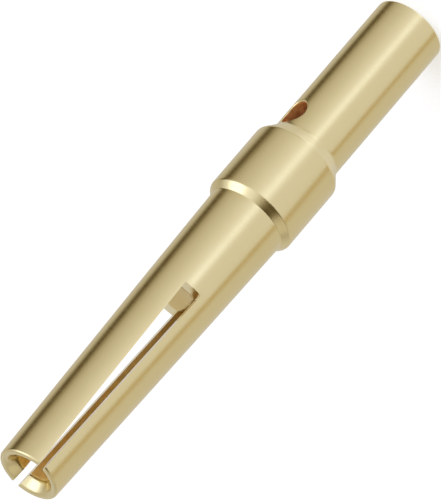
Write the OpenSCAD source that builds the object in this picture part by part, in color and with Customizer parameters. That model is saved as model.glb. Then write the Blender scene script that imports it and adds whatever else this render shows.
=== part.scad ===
// Crimp socket contact for a 1 mm pin, turned, drilled and slotted in one piece.
// It stands on its crimp end. Z runs up the axis to the mouth, and the slot looks along Y.

/* [Crimp barrel] */
// Outer diameter of the crimp barrel
barrel_d = 1.96; // [1.8:0.01:2.2]
// Length of the barrel, from the crimp end to the foot of the collar
barrel_len = 4.63; // [4:0.01:6]
// Diameter of the hole that takes the wire
wire_bore_d = 1.3; // [1:0.01:1.4]
// Depth that the wire hole runs on past the foot of the collar, without its drill point
wire_bore_past = 0.3; // [0.2:0.01:0.8]
// Bevel at the mouth of the wire hole
wire_lead_in = 0.12; // [0.05:0.01:0.16]
// Edge break around the outside of the crimp end
barrel_edge = 0.05; // [0.02:0.01:0.08]

/* [Inspection hole] */
// Diameter of the inspection hole
hole_d = 0.8; // [0.5:0.01:0.95]
// Distance from the foot of the collar back to the centre of the inspection hole
hole_back = 0.46; // [0.2:0.01:1.5]
// Turn of the inspection hole from the slot's front face
hole_turn = 72; // [0:1:180]

/* [Collar] */
// Outer diameter of the collar
collar_d = 2.5; // [2.4:0.01:3]
// Length of the collar between its two slopes
collar_len = 1.95; // [1.5:0.01:3]
// Height of the slope from the barrel up to the collar
rear_slope = 0.4; // [0.2:0.01:0.6]
// Height of the slope from the collar in to the neck
front_slope = 0.2; // [0.1:0.01:0.3]
// Radius of the collar's two outer edges
collar_round = 0.13; // [0.02:0.01:0.16]
// Radius of the hollow at the foot of the collar
foot_round = 0.2; // [0.05:0.01:0.24]

/* [Socket] */
// Outer diameter of the neck at the collar
neck_d = 2.18; // [2.1:0.01:2.3]
// Length of the neck, from the collar to the root of the slot
neck_len = 2.84; // [2:0.01:4]
// Outer diameter over the tines before they are closed
tine_d = 2.05; // [1.9:0.01:2.08]
// Length of the tines, from the root of the slot to the mouth
tine_len = 6.28; // [5:0.01:7]
// Width of the slot
slot_w = 0.52; // [0.4:0.01:0.7]
// Diameter of the hole that takes the pin
pin_bore_d = 1.3; // [1.1:0.01:1.4]
// Length that the pin's hole runs on below the slot, without its drill point
pin_bore_past = 0.02; // [0.01:0.01:0.5]
// Travel of each tine's end towards the axis when it is closed
tine_close = 0.17; // [0.05:0.005:0.2]

/* [Mouth] */
// Diameter of the countersink at the mouth
mouth_d = 1.7; // [1.5:0.01:1.8]
// Depth of the countersink
mouth_depth = 0.3; // [0.1:0.01:0.4]
// Edge break around the outside of the mouth
mouth_edge = 0.04; // [0.02:0.01:0.08]

/* [Hidden] */
$fn = 96;

// Full angle of a drill's point
drill_point = 130;
// Straight steps that stand for one rounded edge
arc_steps = 6;
// The tines reach this far into the neck, and stand this little proud of it where they meet
tine_lap = 0.05;
tine_proud = 0.004;

collar_z = barrel_len + rear_slope;
collar_top = collar_z + collar_len;
neck_z = collar_top + front_slope;
root_z = neck_z + neck_len;

wire_bore_depth = barrel_len + wire_bore_past;
hole_z = barrel_len - hole_back;

tine_r = tine_d / 2 + tine_proud;
tine_bore_r = pin_bore_d / 2 - tine_proud;
lean = asin(tine_close / tine_len);

gold = [0.87, 0.77, 0.51];

function unit(v) = v / norm(v);

function turned(v, angle) =
    [v.x * cos(angle) - v.y * sin(angle), v.x * sin(angle) + v.y * cos(angle)];

// The points of an arc of radius r that rounds the corner b on the way from a to c
function rounded(a, b, c, r) =
    let (
        back = unit(a - b),
        on = unit(c - b),
        half = acos(back * on) / 2,
        centre = b + unit(back + on) * r / sin(half),
        start = b + back * r / tan(half) - centre,
        sweep = sign(cross(b - a, c - b)) * (180 - 2 * half)
    )
    [for (i = [0:arc_steps]) centre + turned(start, sweep * i / arc_steps)];

// The turned outside from the crimp end to the root of the slot
module turned_blank() {
    barrel_foot = [barrel_d / 2, barrel_len];
    collar_back = [collar_d / 2, collar_z];
    collar_front = [collar_d / 2, collar_top];
    neck_foot = [neck_d / 2, neck_z];
    barrel_end = [barrel_d / 2, barrel_edge];
    rotate_extrude()
        polygon(concat(
            [[0, 0], [barrel_d / 2 - barrel_edge, 0], barrel_end],
            rounded(barrel_end, barrel_foot, collar_back, foot_round),
            rounded(barrel_foot, collar_back, collar_front, collar_round),
            rounded(collar_back, collar_front, neck_foot, collar_round),
            [neck_foot, [tine_d / 2, root_z], [0, root_z]]
        ));
}

// A blind hole drilled up from z = 0, with the drill's point at its end
module drilled_hole(d, depth) {
    cylinder(d = d, h = depth);
    translate([0, 0, depth])
        cylinder(d1 = d, d2 = 0, h = d / 2 / tan(drill_point / 2));
}

module wire_hole() {
    drilled_hole(wire_bore_d, wire_bore_depth);
    cylinder(d1 = wire_bore_d + 2 * wire_lead_in, d2 = wire_bore_d, h = wire_lead_in);
}

module inspection_hole() {
    translate([0, 0, hole_z])
        rotate([90, 0, hole_turn])
            cylinder(d = hole_d, h = collar_d);
}

// The end of the pin's hole, below the slot
module pin_hole_end() {
    translate([0, 0, root_z])
        rotate([180, 0, 0])
            drilled_hole(pin_bore_d, pin_bore_past);
}

// The tube of the socket before it is slotted and closed, from the root of the slot up
module straight_tube() {
    rotate_extrude()
        polygon([
            [tine_bore_r, -tine_lap],
            [tine_r, -tine_lap],
            [tine_r, tine_len - mouth_edge],
            [tine_r - mouth_edge, tine_len],
            [mouth_d / 2, tine_len],
            [tine_bore_r, tine_len - mouth_depth]
        ]);
}

// One spring tine: the tube's half on the +X side, leaned in about the foot of its outer wall
module tine() {
    cut = 2 * tine_d;
    translate([tine_r, 0, root_z])
        rotate([0, -lean, 0])
            translate([-tine_r, 0, 0])
                difference() {
                    straight_tube();
                    translate([slot_w / 2 - cut, -cut / 2, -tine_len])
                        cube([cut, cut, 3 * tine_len]);
                }
}

module socket_contact() {
    color(gold)
        difference() {
            union() {
                turned_blank();
                tine();
                mirror([1, 0, 0])
                    tine();
            }
            wire_hole();
            inspection_hole();
            pin_hole_end();
        }
}

socket_contact();
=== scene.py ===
import math
import bmesh
import bpy
from mathutils import Matrix, Quaternion, Vector


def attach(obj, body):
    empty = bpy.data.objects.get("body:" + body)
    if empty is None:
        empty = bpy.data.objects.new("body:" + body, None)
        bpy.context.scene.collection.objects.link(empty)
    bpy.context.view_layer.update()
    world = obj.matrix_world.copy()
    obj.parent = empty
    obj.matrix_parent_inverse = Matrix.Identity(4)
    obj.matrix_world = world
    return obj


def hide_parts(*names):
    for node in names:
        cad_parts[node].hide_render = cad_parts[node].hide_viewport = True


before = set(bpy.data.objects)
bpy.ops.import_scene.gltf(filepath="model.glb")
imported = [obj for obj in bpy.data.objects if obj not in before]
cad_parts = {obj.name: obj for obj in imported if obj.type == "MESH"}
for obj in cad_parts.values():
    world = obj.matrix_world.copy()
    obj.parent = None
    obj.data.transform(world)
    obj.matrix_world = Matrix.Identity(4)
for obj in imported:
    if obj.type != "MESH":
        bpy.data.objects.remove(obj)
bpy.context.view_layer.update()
print("loaded", sorted(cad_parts))

# Lengths are in millimetres up to the last step, which scales the mesh to metres
mm = 0.001
near = 1e-4  # points closer than this are one point
onSurface = 1e-3  # a point closer than this to a surface lies on it

# How each face was cut, which is its material slot
finishes = ["turned", "sawn", "drilled", "deepDrilled", "drillPoint"]

# The turned and drilled profile, spun into one body
# A rounding is the length that it takes off each side of the corner
contact = {
    "barrelR": 0.98,
    "barrelLen": 4.63,
    "barrelRound": 0.05,
    "wireR": 0.65,
    "wirePast": 0.3,  # how far the wire's hole runs on past the barrel
    "wireBevel": 0.12,
    "rearSlope": 0.4,
    "footRound": 0.061,
    "collarR": 1.25,
    "collarLen": 1.95,
    "collarRound": 0.043,
    "frontSlope": 0.2,
    "neckR": 1.09,
    "neckLen": 2.84,
    "neckRound": 0.02,
    "tineR": 1.025,
    "tineLen": 6.28,
    "tipRound": 0.08,
    "pinR": 0.65,
    "mouthR": 0.85,
    "mouthDeep": 0.3,
    "mouthRound": 0.07,
    "throatRound": 0.08,
    "drillPoint": 130,  # full angle of a drill's point
    "rootRing": 0.15,  # a ring on each side of the slot's root keeps the neck's shading straight
    "wallTilt": 0.2,  # a face in a hole is its wall if its normal's Z is less than this
    "roundSteps": 5,
    "steps": 96,
    "smoothAngle": 38,  # a steeper edge is shaded sharp
}

# Heights up the axis
barrelTop = contact["barrelLen"]
wireEnd = barrelTop + contact["wirePast"]
collarLow = barrelTop + contact["rearSlope"]
collarHigh = collarLow + contact["collarLen"]
neckLow = collarHigh + contact["frontSlope"]
slotRoot = neckLow + contact["neckLen"]
tip = slotRoot + contact["tineLen"]

# The saw cut between the tines
slot = {
    "halfWidth": 0.26,
    "edge": 0.02,  # rounding of the cut's edges
    "edgeSteps": 3,
    "close": 0.17,  # how far each tine's end is pressed in
    "sawDist": 1e-5,  # a point this close to the saw's side lies on it
}

# The cross hole next to the collar
peepHole = {
    "radius": 0.39,
    "back": 0.46,  # from the barrel's top to the hole's centre
    "turn": 72,  # degrees round from the front
    "deep": 0.55,  # reach of the drill to each side of the barrel's skin
    "edge": 0.06,  # rounding of the rim
    "proud": 0.003,  # the rounding ends this far above the skin
    "rimSteps": 6,
    "steps": 64,
}
holeHeight = barrelTop - peepHole["back"]


def addObject(name, data):
    thing = bpy.data.objects.new(name, data)
    bpy.context.scene.collection.objects.link(thing)
    return thing


def finishMesh(name, bm):
    mesh = bpy.data.meshes.new(name)
    bm.to_mesh(mesh)
    bm.free()
    return mesh


def applyModifiers(piece):
    graph = bpy.context.evaluated_depsgraph_get()
    mesh = bpy.data.meshes.new_from_object(piece.evaluated_get(graph))
    piece.modifiers.clear()
    return mesh


def drawLine(bm, points):
    corners = [bm.verts.new((radius, 0, height)) for radius, height in points]
    for a, b in zip(corners, corners[1:]):
        bm.edges.new((a, b))
    return corners


def spinRound(bm, steps):
    bmesh.ops.spin(bm, geom=bm.verts[:] + bm.edges[:], cent=(0, 0, 0), axis=(0, 0, 1),
                   angle=math.tau, steps=steps, use_merge=True)
    bmesh.ops.remove_doubles(bm, verts=bm.verts, dist=near)
    bmesh.ops.recalc_face_normals(bm, faces=bm.faces)


def drillRise(radius):
    return radius / math.tan(math.radians(contact["drillPoint"] / 2))


def contactProfile():
    c = contact
    taper = (c["neckR"] - c["tineR"]) / c["neckLen"]
    ringR = c["tineR"] + taper * c["rootRing"]
    # radius, height, rounding
    return [
        (0, wireEnd + drillRise(c["wireR"]), 0),
        (c["wireR"], wireEnd, 0),
        (c["wireR"], c["wireBevel"], 0),
        (c["wireR"] + c["wireBevel"], 0, 0),
        (c["barrelR"], 0, c["barrelRound"]),
        (c["barrelR"], barrelTop, c["footRound"]),
        (c["collarR"], collarLow, c["collarRound"]),
        (c["collarR"], collarHigh, c["collarRound"]),
        (c["neckR"], neckLow, c["neckRound"]),
        (ringR, slotRoot - c["rootRing"], 0),
        (c["tineR"], slotRoot, 0),
        (c["tineR"], slotRoot + c["rootRing"], 0),
        (c["tineR"], tip, c["tipRound"]),
        (c["mouthR"], tip, c["mouthRound"]),
        (c["pinR"], tip - c["mouthDeep"], c["throatRound"]),
        (c["pinR"], slotRoot, 0),
        (0, slotRoot - drillRise(c["pinR"]), 0),
    ]


def spinBody(bm):
    profile = contactProfile()
    corners = drawLine(bm, [(radius, height) for radius, height, rounding in profile])
    for corner, (radius, height, rounding) in zip(corners, profile):
        if rounding:
            bmesh.ops.bevel(bm, geom=[corner], offset=rounding, offset_type="OFFSET", affect="VERTICES",
                            segments=contact["roundSteps"], profile=0.5, material=-1)
    spinRound(bm, contact["steps"])
    for f in bm.faces:
        middle = f.calc_center_median()
        inHole = middle.xy.length < contact["mouthR"]
        isWall = abs(f.normal.z) < contact["wallTilt"]
        if inHole and wireEnd < middle.z < slotRoot:
            f.material_index = finishes.index("drillPoint")
        elif inHole and isWall and middle.z > slotRoot:
            f.material_index = finishes.index("drilled")
        elif inHole and isWall:
            f.material_index = finishes.index("deepDrilled")


def sawSlot(bm):
    half = slot["halfWidth"]
    for side in (1, -1):
        above = [f for f in bm.faces if f.calc_center_median().z > slotRoot]
        parts = set(above)
        for f in above:
            parts.update(f.edges)
            parts.update(f.verts)
        bmesh.ops.bisect_plane(bm, geom=list(parts), dist=slot["sawDist"],
                               plane_co=(side * half, 0, 0), plane_no=(1, 0, 0))
    waste = [f for f in bm.faces
             if f.calc_center_median().z > slotRoot and abs(f.calc_center_median().x) < half - near]
    bmesh.ops.delete(bm, geom=waste, context="FACES")
    loose = [e for e in bm.edges if not e.link_faces]
    bmesh.ops.delete(bm, geom=loose, context="EDGES")
    openEdges = [e for e in bm.edges if e.is_boundary]

    # the saw leaves two walls and a floor on the near side, and the same on the far side
    softEdges = []
    for y in (-1, 1):
        rims = []
        for x in (-1, 1):
            wall = [e for e in openEdges
                    if all(v.co.y * y > 0 and abs(v.co.x - x * half) < near for v in e.verts)]
            feet = [v for e in wall for v in e.verts if abs(v.co.z - slotRoot) < near]
            feet = sorted(set(feet), key=lambda v: abs(v.co.y))
            rim = bm.edges.new((feet[0], feet[-1]))
            rims.append(rim)
            bmesh.ops.edgeloop_fill(bm, edges=wall + [rim], mat_nr=finishes.index("sawn"))
            softEdges += wall
        ground = [e for e in openEdges
                  if all(v.co.y * y > 0 and abs(v.co.z - slotRoot) < near for v in e.verts)]
        bmesh.ops.edgeloop_fill(bm, edges=ground + rims, mat_nr=finishes.index("sawn"))
        softEdges += ground
    bmesh.ops.recalc_face_normals(bm, faces=bm.faces)
    bmesh.ops.bevel(bm, geom=softEdges, offset=slot["edge"], offset_type="OFFSET", affect="EDGES",
                    segments=slot["edgeSteps"], profile=0.5, material=-1, clamp_overlap=True)


def closeTines(bm):
    lean = math.asin(slot["close"] / contact["tineLen"])
    for side in (1, -1):
        tine = [v for v in bm.verts if v.co.z > slotRoot + near and v.co.x * side > 0]
        bmesh.ops.rotate(bm, verts=tine, cent=(side * contact["tineR"], 0, slotRoot),
                         matrix=Matrix.Rotation(-side * lean, 3, "Y"))


def makeDrill(out):
    # the drill flares where it meets the barrel's curved side, which leaves a rounded rim
    h = peepHole
    line = [(0, -h["deep"]), (h["radius"], -h["deep"])]
    for i in range(h["rimSteps"] + 1):
        a = math.pi / 2 * i / h["rimSteps"]
        flare = h["edge"] * (1 - math.cos(a))
        line.append((h["radius"] + flare, h["edge"] * (math.sin(a) - 1) + h["proud"]))
    line += [(h["radius"] + h["edge"], h["deep"]), (0, h["deep"])]
    bm = bmesh.new()
    drawLine(bm, line)
    spinRound(bm, h["steps"])
    for v in bm.verts:
        v.co.z += math.sqrt(contact["barrelR"] ** 2 - v.co.x ** 2)
    place = Matrix.Translation((0, 0, holeHeight)) @ out.to_track_quat("Z", "Y").to_matrix().to_4x4()
    bmesh.ops.transform(bm, verts=bm.verts, matrix=place)
    return addObject("drill", finishMesh("drill", bm))


def drillPeepHole(piece):
    out = Quaternion((0, 0, 1), math.radians(peepHole["turn"])) @ Vector((0, -1, 0))
    drill = makeDrill(out)
    cut = piece.modifiers.new("peepHole", "BOOLEAN")
    cut.object = drill
    cut.operation = "DIFFERENCE"
    cut.solver = "EXACT"
    piece.data = applyModifiers(piece)
    bpy.data.objects.remove(drill)

    bm = bmesh.new()
    bm.from_mesh(piece.data)
    bmesh.ops.remove_doubles(bm, verts=bm.verts, dist=near)
    wallCount = 0
    for f in bm.faces:
        away = f.calc_center_median() - Vector((0, 0, holeHeight))
        fromAxis = (away - out * away.dot(out)).length
        if away.dot(out) > 0 and fromAxis < peepHole["radius"] + onSurface:
            f.material_index = finishes.index("deepDrilled")
            wallCount += 1
    print("peep hole", wallCount, "wall faces")
    return bm


def evenNormals(piece):
    # weighted by area, but straight out from the axis where the cross hole cuts the barrel
    facesOut = 0.99  # cosine of the angle to straight out
    even = piece.modifiers.new("evenNormals", "WEIGHTED_NORMAL")
    even.keep_sharp = True
    shaded = applyModifiers(piece)
    normals = [n.vector.copy() for n in shaded.corner_normals]
    for face in shaded.polygons:
        for i in face.loop_indices:
            out = shaded.vertices[shaded.loops[i].vertex_index].co * Vector((1, 1, 0))
            onBarrel = abs(out.length / mm - contact["barrelR"]) < onSurface
            if onBarrel and face.normal.dot(out.normalized()) > facesOut:
                normals[i] = out.normalized()
    shaded.normals_split_custom_set(normals)
    piece.data = shaded


def makeContact():
    bm = bmesh.new()
    spinBody(bm)
    sawSlot(bm)
    closeTines(bm)
    piece = addObject("contact", finishMesh("contact", bm))
    bm = drillPeepHole(piece)
    for f in bm.faces:
        f.smooth = True
    for e in bm.edges:
        e.smooth = e.calc_face_angle(0) < math.radians(contact["smoothAngle"])
    bmesh.ops.scale(bm, vec=(mm, mm, mm), verts=bm.verts)
    bm.to_mesh(piece.data)
    openCount = sum(1 for e in bm.edges if not e.is_manifold)
    bm.free()
    evenNormals(piece)
    print("contact", len(piece.data.polygons), "faces", openCount, "open edges")
    return piece


piece = makeContact()

# Satin gold plate, over the marks that each tool left: pitch, wander, grain and depth of cut in millimetres
# One gold plates the whole part. The turned faces show its own colour, and the other finishes' colours carry
# painted light and shade
gold = {
    "turned": {"colour": (0.8, 0.685, 0.395, 1), "deep": (0.78, 0.655, 0.36, 1), "gloss": (0.16, 0.24),
               "pitch": 0.05, "wander": 0.02, "grain": 0.05, "cut": 0.0016, "across": "radius"},
    # the sawn faces' gold is lighter than the turned gold: painted light against the shade between the tines
    "sawn": {"colour": (0.89, 0.78, 0.49, 1), "deep": (0.85, 0.72, 0.43, 1), "gloss": (0.1, 0.18),
             "pitch": 0.07, "wander": 0.03, "grain": 0.03, "cut": 0.0003, "across": "side"},
    # the drilled faces' gold is lighter and yellower than the turned gold: painted light against the shade
    # in the pin's bore and mouth
    "drilled": {"colour": (1, 0.82, 0.38, 1), "deep": (0.98, 0.75, 0.31, 1), "gloss": (0.55, 0.75),
                "pitch": 0.08, "wander": 0.03, "grain": 0.04, "cut": 0.0006, "across": "radius"},
    # the deep drilled faces' gold is redder and darker than the turned gold: painted shade deep in the
    # wire's bore and the cross hole
    "deepDrilled": {"colour": (0.91, 0.55, 0.24, 1), "deep": (0.86, 0.46, 0.17, 1), "gloss": (0.4, 0.6),
                    "pitch": 0.08, "wander": 0.03, "grain": 0.04, "cut": 0.0006, "across": "radius"},
    # the drill points' gold is warmer and darker than the turned gold: painted shade at the bottoms of the
    # bores
    "drillPoint": {"colour": (0.78, 0.62, 0.31, 1), "deep": (0.7, 0.52, 0.23, 1), "gloss": (0.12, 0.22),
                   "pitch": 0.06, "wander": 0.05, "grain": 0.04, "cut": 0.0008, "across": "radius"},
}

# What all finishes share: patches per millimetre, the detail of each noise, and the range that it fills
plateNoise = {"patchScale": 1.7, "patchDetail": 2, "lineDetail": 2, "grainDetail": 1, "range": (0.3, 0.7)}


def startGroup(name, inputs, outputs):
    tree = bpy.data.node_groups.new(name, "ShaderNodeTree")
    for socket, kind in inputs:
        tree.interface.new_socket(socket, in_out="INPUT", socket_type=kind)
    for socket, kind in outputs:
        tree.interface.new_socket(socket, in_out="OUTPUT", socket_type=kind)
    return tree, tree.nodes.new("NodeGroupInput"), tree.nodes.new("NodeGroupOutput")


def mathNode(tree, operation, a, b=0):
    node = tree.nodes.new("ShaderNodeMath")
    node.operation = operation
    for socket, value in zip(node.inputs, (a, b)):
        if isinstance(value, (int, float)):
            socket.default_value = value
        else:
            tree.links.new(value, socket)
    return node.outputs["Value"]


def noiseNode(tree, vector, scale, detail):
    node = tree.nodes.new("ShaderNodeTexNoise")
    node.inputs["Scale"].default_value = scale
    node.inputs["Detail"].default_value = detail
    tree.links.new(vector, node.inputs["Vector"])
    return node.outputs["Fac"]


def makeToolMarks():
    # fine lines, each at its own place across the cut, that run unevenly along it
    floatSocket, vectorSocket = "NodeSocketFloat", "NodeSocketVector"
    tree, groupIn, groupOut = startGroup(
        "toolMarks",
        [("Place", vectorSocket), ("Across", floatSocket), ("Height", floatSocket),
         ("Pitch", floatSocket), ("Wander", floatSocket)],
        [("Lines", floatSocket), ("Patches", floatSocket)])
    given = groupIn.outputs
    patches = noiseNode(tree, given["Place"], plateNoise["patchScale"], plateNoise["patchDetail"])
    drift = mathNode(tree, "MULTIPLY", patches, given["Wander"])
    height = mathNode(tree, "ADD", given["Height"], drift)
    lines = tree.nodes.new("ShaderNodeCombineXYZ")
    tree.links.new(mathNode(tree, "DIVIDE", given["Across"], given["Pitch"]), lines.inputs["X"])
    tree.links.new(mathNode(tree, "DIVIDE", height, given["Pitch"]), lines.inputs["Y"])
    lineNoise = noiseNode(tree, lines.outputs["Vector"], 1, plateNoise["lineDetail"])
    tree.links.new(lineNoise, groupOut.inputs["Lines"])
    tree.links.new(patches, groupOut.inputs["Patches"])
    return tree


def makePlateGrain():
    # the soft pebbling of the plate, by the size of one grain
    floatSocket, vectorSocket = "NodeSocketFloat", "NodeSocketVector"
    tree, groupIn, groupOut = startGroup(
        "plateGrain", [("Place", vectorSocket), ("Size", floatSocket)], [("Grain", floatSocket)])
    small = tree.nodes.new("ShaderNodeVectorMath")
    small.operation = "SCALE"
    tree.links.new(groupIn.outputs["Place"], small.inputs["Vector"])
    tree.links.new(mathNode(tree, "DIVIDE", 1, groupIn.outputs["Size"]), small.inputs["Scale"])
    grain = noiseNode(tree, small.outputs["Vector"], 1, plateNoise["grainDetail"])
    tree.links.new(grain, groupOut.inputs["Grain"])
    return tree


toolMarks = makeToolMarks()
plateGrain = makePlateGrain()


def makeGold(name, finish):
    mat = bpy.data.materials.new(name + "Gold")
    mat.use_nodes = True
    tree = mat.node_tree
    nodes, links = tree.nodes, tree.links
    coords = nodes.new("ShaderNodeTexCoord")
    place = nodes.new("ShaderNodeVectorMath")
    place.operation = "SCALE"
    place.inputs["Scale"].default_value = 1 / mm
    links.new(coords.outputs["Object"], place.inputs["Vector"])
    split = nodes.new("ShaderNodeSeparateXYZ")
    links.new(place.outputs["Vector"], split.inputs["Vector"])
    across = split.outputs["X"]
    if finish["across"] == "radius":
        flat = nodes.new("ShaderNodeCombineXYZ")
        links.new(split.outputs["X"], flat.inputs["X"])
        links.new(split.outputs["Y"], flat.inputs["Y"])
        radius = nodes.new("ShaderNodeVectorMath")
        radius.operation = "LENGTH"
        links.new(flat.outputs["Vector"], radius.inputs["Vector"])
        across = radius.outputs["Value"]
    marks = nodes.new("ShaderNodeGroup")
    marks.node_tree = toolMarks
    links.new(place.outputs["Vector"], marks.inputs["Place"])
    links.new(across, marks.inputs["Across"])
    links.new(split.outputs["Z"], marks.inputs["Height"])
    marks.inputs["Pitch"].default_value = finish["pitch"]
    marks.inputs["Wander"].default_value = finish["wander"]
    plate = nodes.new("ShaderNodeGroup")
    plate.node_tree = plateGrain
    links.new(place.outputs["Vector"], plate.inputs["Place"])
    plate.inputs["Size"].default_value = finish["grain"]

    tone = nodes.new("ShaderNodeMix")
    tone.data_type = "RGBA"
    tone.inputs["A"].default_value = finish["colour"]
    tone.inputs["B"].default_value = finish["deep"]
    links.new(marks.outputs["Patches"], tone.inputs["Factor"])
    sheen = nodes.new("ShaderNodeMapRange")
    sheen.inputs["From Min"].default_value, sheen.inputs["From Max"].default_value = plateNoise["range"]
    sheen.inputs["To Min"].default_value, sheen.inputs["To Max"].default_value = finish["gloss"]
    links.new(marks.outputs["Lines"], sheen.inputs["Value"])
    relief = nodes.new("ShaderNodeBump")
    relief.inputs["Strength"].default_value = 1
    relief.inputs["Distance"].default_value = finish["cut"] * mm
    links.new(mathNode(tree, "ADD", marks.outputs["Lines"], plate.outputs["Grain"]), relief.inputs["Height"])
    shader = nodes["Principled BSDF"]
    shader.inputs["Metallic"].default_value = 1
    links.new(tone.outputs["Result"], shader.inputs["Base Color"])
    links.new(sheen.outputs["Result"], shader.inputs["Roughness"])
    links.new(relief.outputs["Normal"], shader.inputs["Normal"])
    return mat


for name in finishes:
    piece.data.materials.append(makeGold(name, gold[name]))
print("gold", len(piece.data.materials), "finishes")

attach(piece, "root")
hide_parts("socket_contact")

# A plain pale floor, with its size in metres
stage = {"size": 2.0, "colour": (0.92, 0.93, 0.97, 1), "roughness": 0.9, "specular": 0, "glow": 0.4}
white = (1, 1, 1, 1)


def makeFloor():
    bm = bmesh.new()
    bmesh.ops.create_grid(bm, x_segments=1, y_segments=1, size=stage["size"] / 2)
    floor = addObject("floor", finishMesh("floor", bm))
    mat = bpy.data.materials.new("paleFloor")
    mat.use_nodes = True
    shader = mat.node_tree.nodes["Principled BSDF"]
    shader.inputs["Base Color"].default_value = stage["colour"]
    shader.inputs["Roughness"].default_value = stage["roughness"]
    shader.inputs["Specular IOR Level"].default_value = stage["specular"]
    # to the camera the floor is a lit white sheet, and it keeps the shadow
    shader.inputs["Emission Color"].default_value = white
    path = mat.node_tree.nodes.new("ShaderNodeLightPath")
    glow = mathNode(mat.node_tree, "MULTIPLY", path.outputs["Is Camera Ray"], stage["glow"])
    mat.node_tree.links.new(glow, shader.inputs["Emission Strength"])
    floor.data.materials.append(mat)
    floor.visible_glossy = False  # the metal mirrors the white room instead


makeFloor()
print("floor set")

# The camera by turn round the part and height in degrees, with aim, distance and lens in millimetres
# and the clipping in metres
camera = {"turn": 6.6, "height": 25.6, "roll": -139.5, "aim": (-0.006, 0, 8.255), "far": 150.3,
          "lens": 432.8, "clip": (0.01, 10)}
aim = Vector(camera["aim"]) * mm

# Soft boxes by turn from the camera and height in degrees, with distance and size in metres
lamps = {
    "key": {"turn": 78, "height": 33, "far": 0.5, "wide": 0.31, "tall": 0.23, "watts": 0.22},
    "fill": {"turn": -85, "height": 36, "far": 0.6, "wide": 0.5, "tall": 0.3, "watts": 0.1},
}


def direction(turn, height):
    a, e = math.radians(turn), math.radians(height)
    return Vector((math.cos(e) * math.sin(a), -math.cos(e) * math.cos(a), math.sin(e)))


def pointAtPart(thing, turn, height, far):
    thing.location = aim + direction(turn, height) * far
    thing.rotation_mode = "QUATERNION"
    thing.rotation_quaternion = (thing.location - aim).to_track_quat("Z", "Y")


def makeLamp(name, box):
    data = bpy.data.lights.new(name, "AREA")
    data.shape = "RECTANGLE"
    data.size = box["wide"]
    data.size_y = box["tall"]
    data.energy = box["watts"]
    pointAtPart(addObject(name, data), camera["turn"] + box["turn"], box["height"], box["far"])


for name, box in lamps.items():
    makeLamp(name, box)

# The white room that the metal mirrors: below the horizon, above it, and straight below the part
# Each stop is a turn from the camera in degrees, a brightness, and a warmth where that isn't 1
# Rise, peak and sink are the heights, from -1 straight down to 1 straight up, between which one part
# goes over to the next
room = {
    "low": [
        (-180, 0.8), (-120, 0.82, 1.3), (-88, 0.83, 1.6), (-80, 0.76, 2), (-76, 0.58, 3), (-72, 0.58, 3),
        (-68, 0.74, 2), (-62, 1.0), (-20, 1.03), (-12, 1.13), (-2, 1.54), (4, 1.52), (14, 1.24),
        (24, 1.12), (46, 0.93), (74, 0.74), (90, 0.56), (101, 0.24), (107, 0.1), (115, 0.1), (123, 0.46),
        (132, 0.7), (180, 0.8),
    ],
    "high": [
        (-180, 0.82, 0), (-100, 0.57), (-85, 0.56), (-71, 0.48), (-57, 0.25), (-44, 0.12), (-30, 0.09),
        (-15, 0.15), (0, 0.57), (15, 0.98), (30, 1.23), (44, 1.38), (60, 1.5), (100, 1.35), (122, 0.69),
        (180, 0.82, 0),
    ],
    "under": [
        (-180, 0.8), (-90, 0.8), (-45, 0.98), (-18, 1.04), (-9, 1.06), (-3, 1.5), (0, 1.75), (5, 1.45),
        (10, 1.3), (16, 1.1), (22, 0.9), (45, 0.85), (90, 0.7), (180, 0.7),
    ],
    "top": 0.85,
    "level": 0.825,
    "rise": (0.05, 0.3),
    "peak": (0.84, 0.96),
    "sink": (-0.6, -0.9),
    "redder": 0.13,
    "lessBlue": 0.35,
}


def wallTone(level, warmth=1):
    # the darker a wall, the warmer its light
    return (level ** (1 - room["redder"] * warmth), level, level ** (1 + room["lessBlue"] * warmth), 1)


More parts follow.
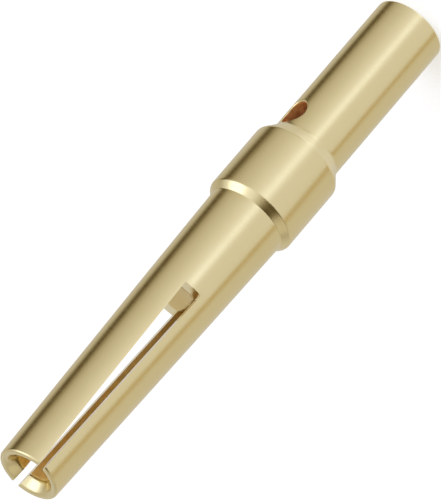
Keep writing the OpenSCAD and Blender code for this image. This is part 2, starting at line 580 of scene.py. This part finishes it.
def makeRoom():
    world = bpy.data.worlds.new("room")
    world.use_nodes = True
    tree = world.node_tree
    nodes, links = tree.nodes, tree.links
    coords = nodes.new("ShaderNodeTexCoord")
    swing = nodes.new("ShaderNodeMapping")
    swing.inputs["Rotation"].default_value[2] = math.radians(90 - camera["turn"])
    links.new(coords.outputs["Generated"], swing.inputs["Vector"])
    turn = nodes.new("ShaderNodeTexGradient")
    turn.gradient_type = "RADIAL"
    links.new(swing.outputs["Vector"], turn.inputs["Vector"])

    # straight below, the light changes from side to side only
    across = nodes.new("ShaderNodeVectorMath")
    across.operation = "DOT_PRODUCT"
    across.inputs[1].default_value = direction(camera["turn"] + 90, 0)
    links.new(coords.outputs["Generated"], across.inputs[0])
    widest = math.cos(math.radians(camera["height"]))
    side = mathNode(tree, "ARCSINE", mathNode(tree, "DIVIDE", across.outputs["Value"], widest))
    side = mathNode(tree, "ADD", mathNode(tree, "DIVIDE", side, math.tau), 0.5)

    walls = {}
    for part, place in (("low", turn.outputs["Fac"]), ("high", turn.outputs["Fac"]), ("under", side)):
        ramp = nodes.new("ShaderNodeValToRGB")
        links.new(place, ramp.inputs["Fac"])
        stops = ramp.color_ramp.elements
        stops[0].color = wallTone(*room[part][0][1:])
        stops[1].color = wallTone(*room[part][-1][1:])
        for angle, *tone in room[part][1:-1]:
            stops.new(0.5 + angle / 360).color = wallTone(*tone)  # the ramp's middle is the camera's side
        walls[part] = ramp.outputs["Color"]

    split = nodes.new("ShaderNodeSeparateXYZ")
    links.new(coords.outputs["Generated"], split.inputs["Vector"])

    def blend(base, other, span):
        # from one part of the room to the next by height
        share = nodes.new("ShaderNodeMapRange")
        share.interpolation_type = "SMOOTHSTEP"
        share.inputs["From Min"].default_value, share.inputs["From Max"].default_value = span
        links.new(split.outputs["Z"], share.inputs["Value"])
        mix = nodes.new("ShaderNodeMix")
        mix.data_type = "RGBA"
        links.new(share.outputs["Result"], mix.inputs["Factor"])
        links.new(base, mix.inputs["A"])
        if isinstance(other, tuple):
            mix.inputs["B"].default_value = other
        else:
            links.new(other, mix.inputs["B"])
        return mix.outputs["Result"]

    wall = blend(walls["low"], walls["high"], room["rise"])
    wall = blend(wall, wallTone(room["top"]), room["peak"])
    wall = blend(wall, walls["under"], room["sink"])

    # past the floor's edge the camera sees plain white, and the metal mirrors the walls
    path = nodes.new("ShaderNodeLightPath")
    plain = mathNode(tree, "MAXIMUM", path.outputs["Is Camera Ray"], path.outputs["Is Transmission Ray"])
    seen = nodes.new("ShaderNodeMix")
    seen.data_type = "RGBA"
    seen.inputs["B"].default_value = white
    links.new(plain, seen.inputs["Factor"])
    links.new(wall, seen.inputs["A"])
    links.new(seen.outputs["Result"], nodes["Background"].inputs["Color"])
    power = nodes.new("ShaderNodeMix")
    power.inputs["A"].default_value = room["level"]
    power.inputs["B"].default_value = 1
    links.new(plain, power.inputs["Factor"])
    links.new(power.outputs["Result"], nodes["Background"].inputs["Strength"])
    bpy.context.scene.world = world


makeRoom()
print("room and lamps set")


def makeCamera():
    data = bpy.data.cameras.new("camera")
    data.lens = camera["lens"]
    data.clip_start, data.clip_end = camera["clip"]
    cam = addObject("camera", data)
    pointAtPart(cam, camera["turn"], camera["height"], camera["far"] * mm)
    roll = Quaternion((0, 0, 1), math.radians(camera["roll"]))
    cam.rotation_quaternion = cam.rotation_quaternion @ roll
    bpy.context.scene.camera = cam


makeCamera()
bpy.context.scene.view_settings.view_transform = "Standard"
print("camera set")
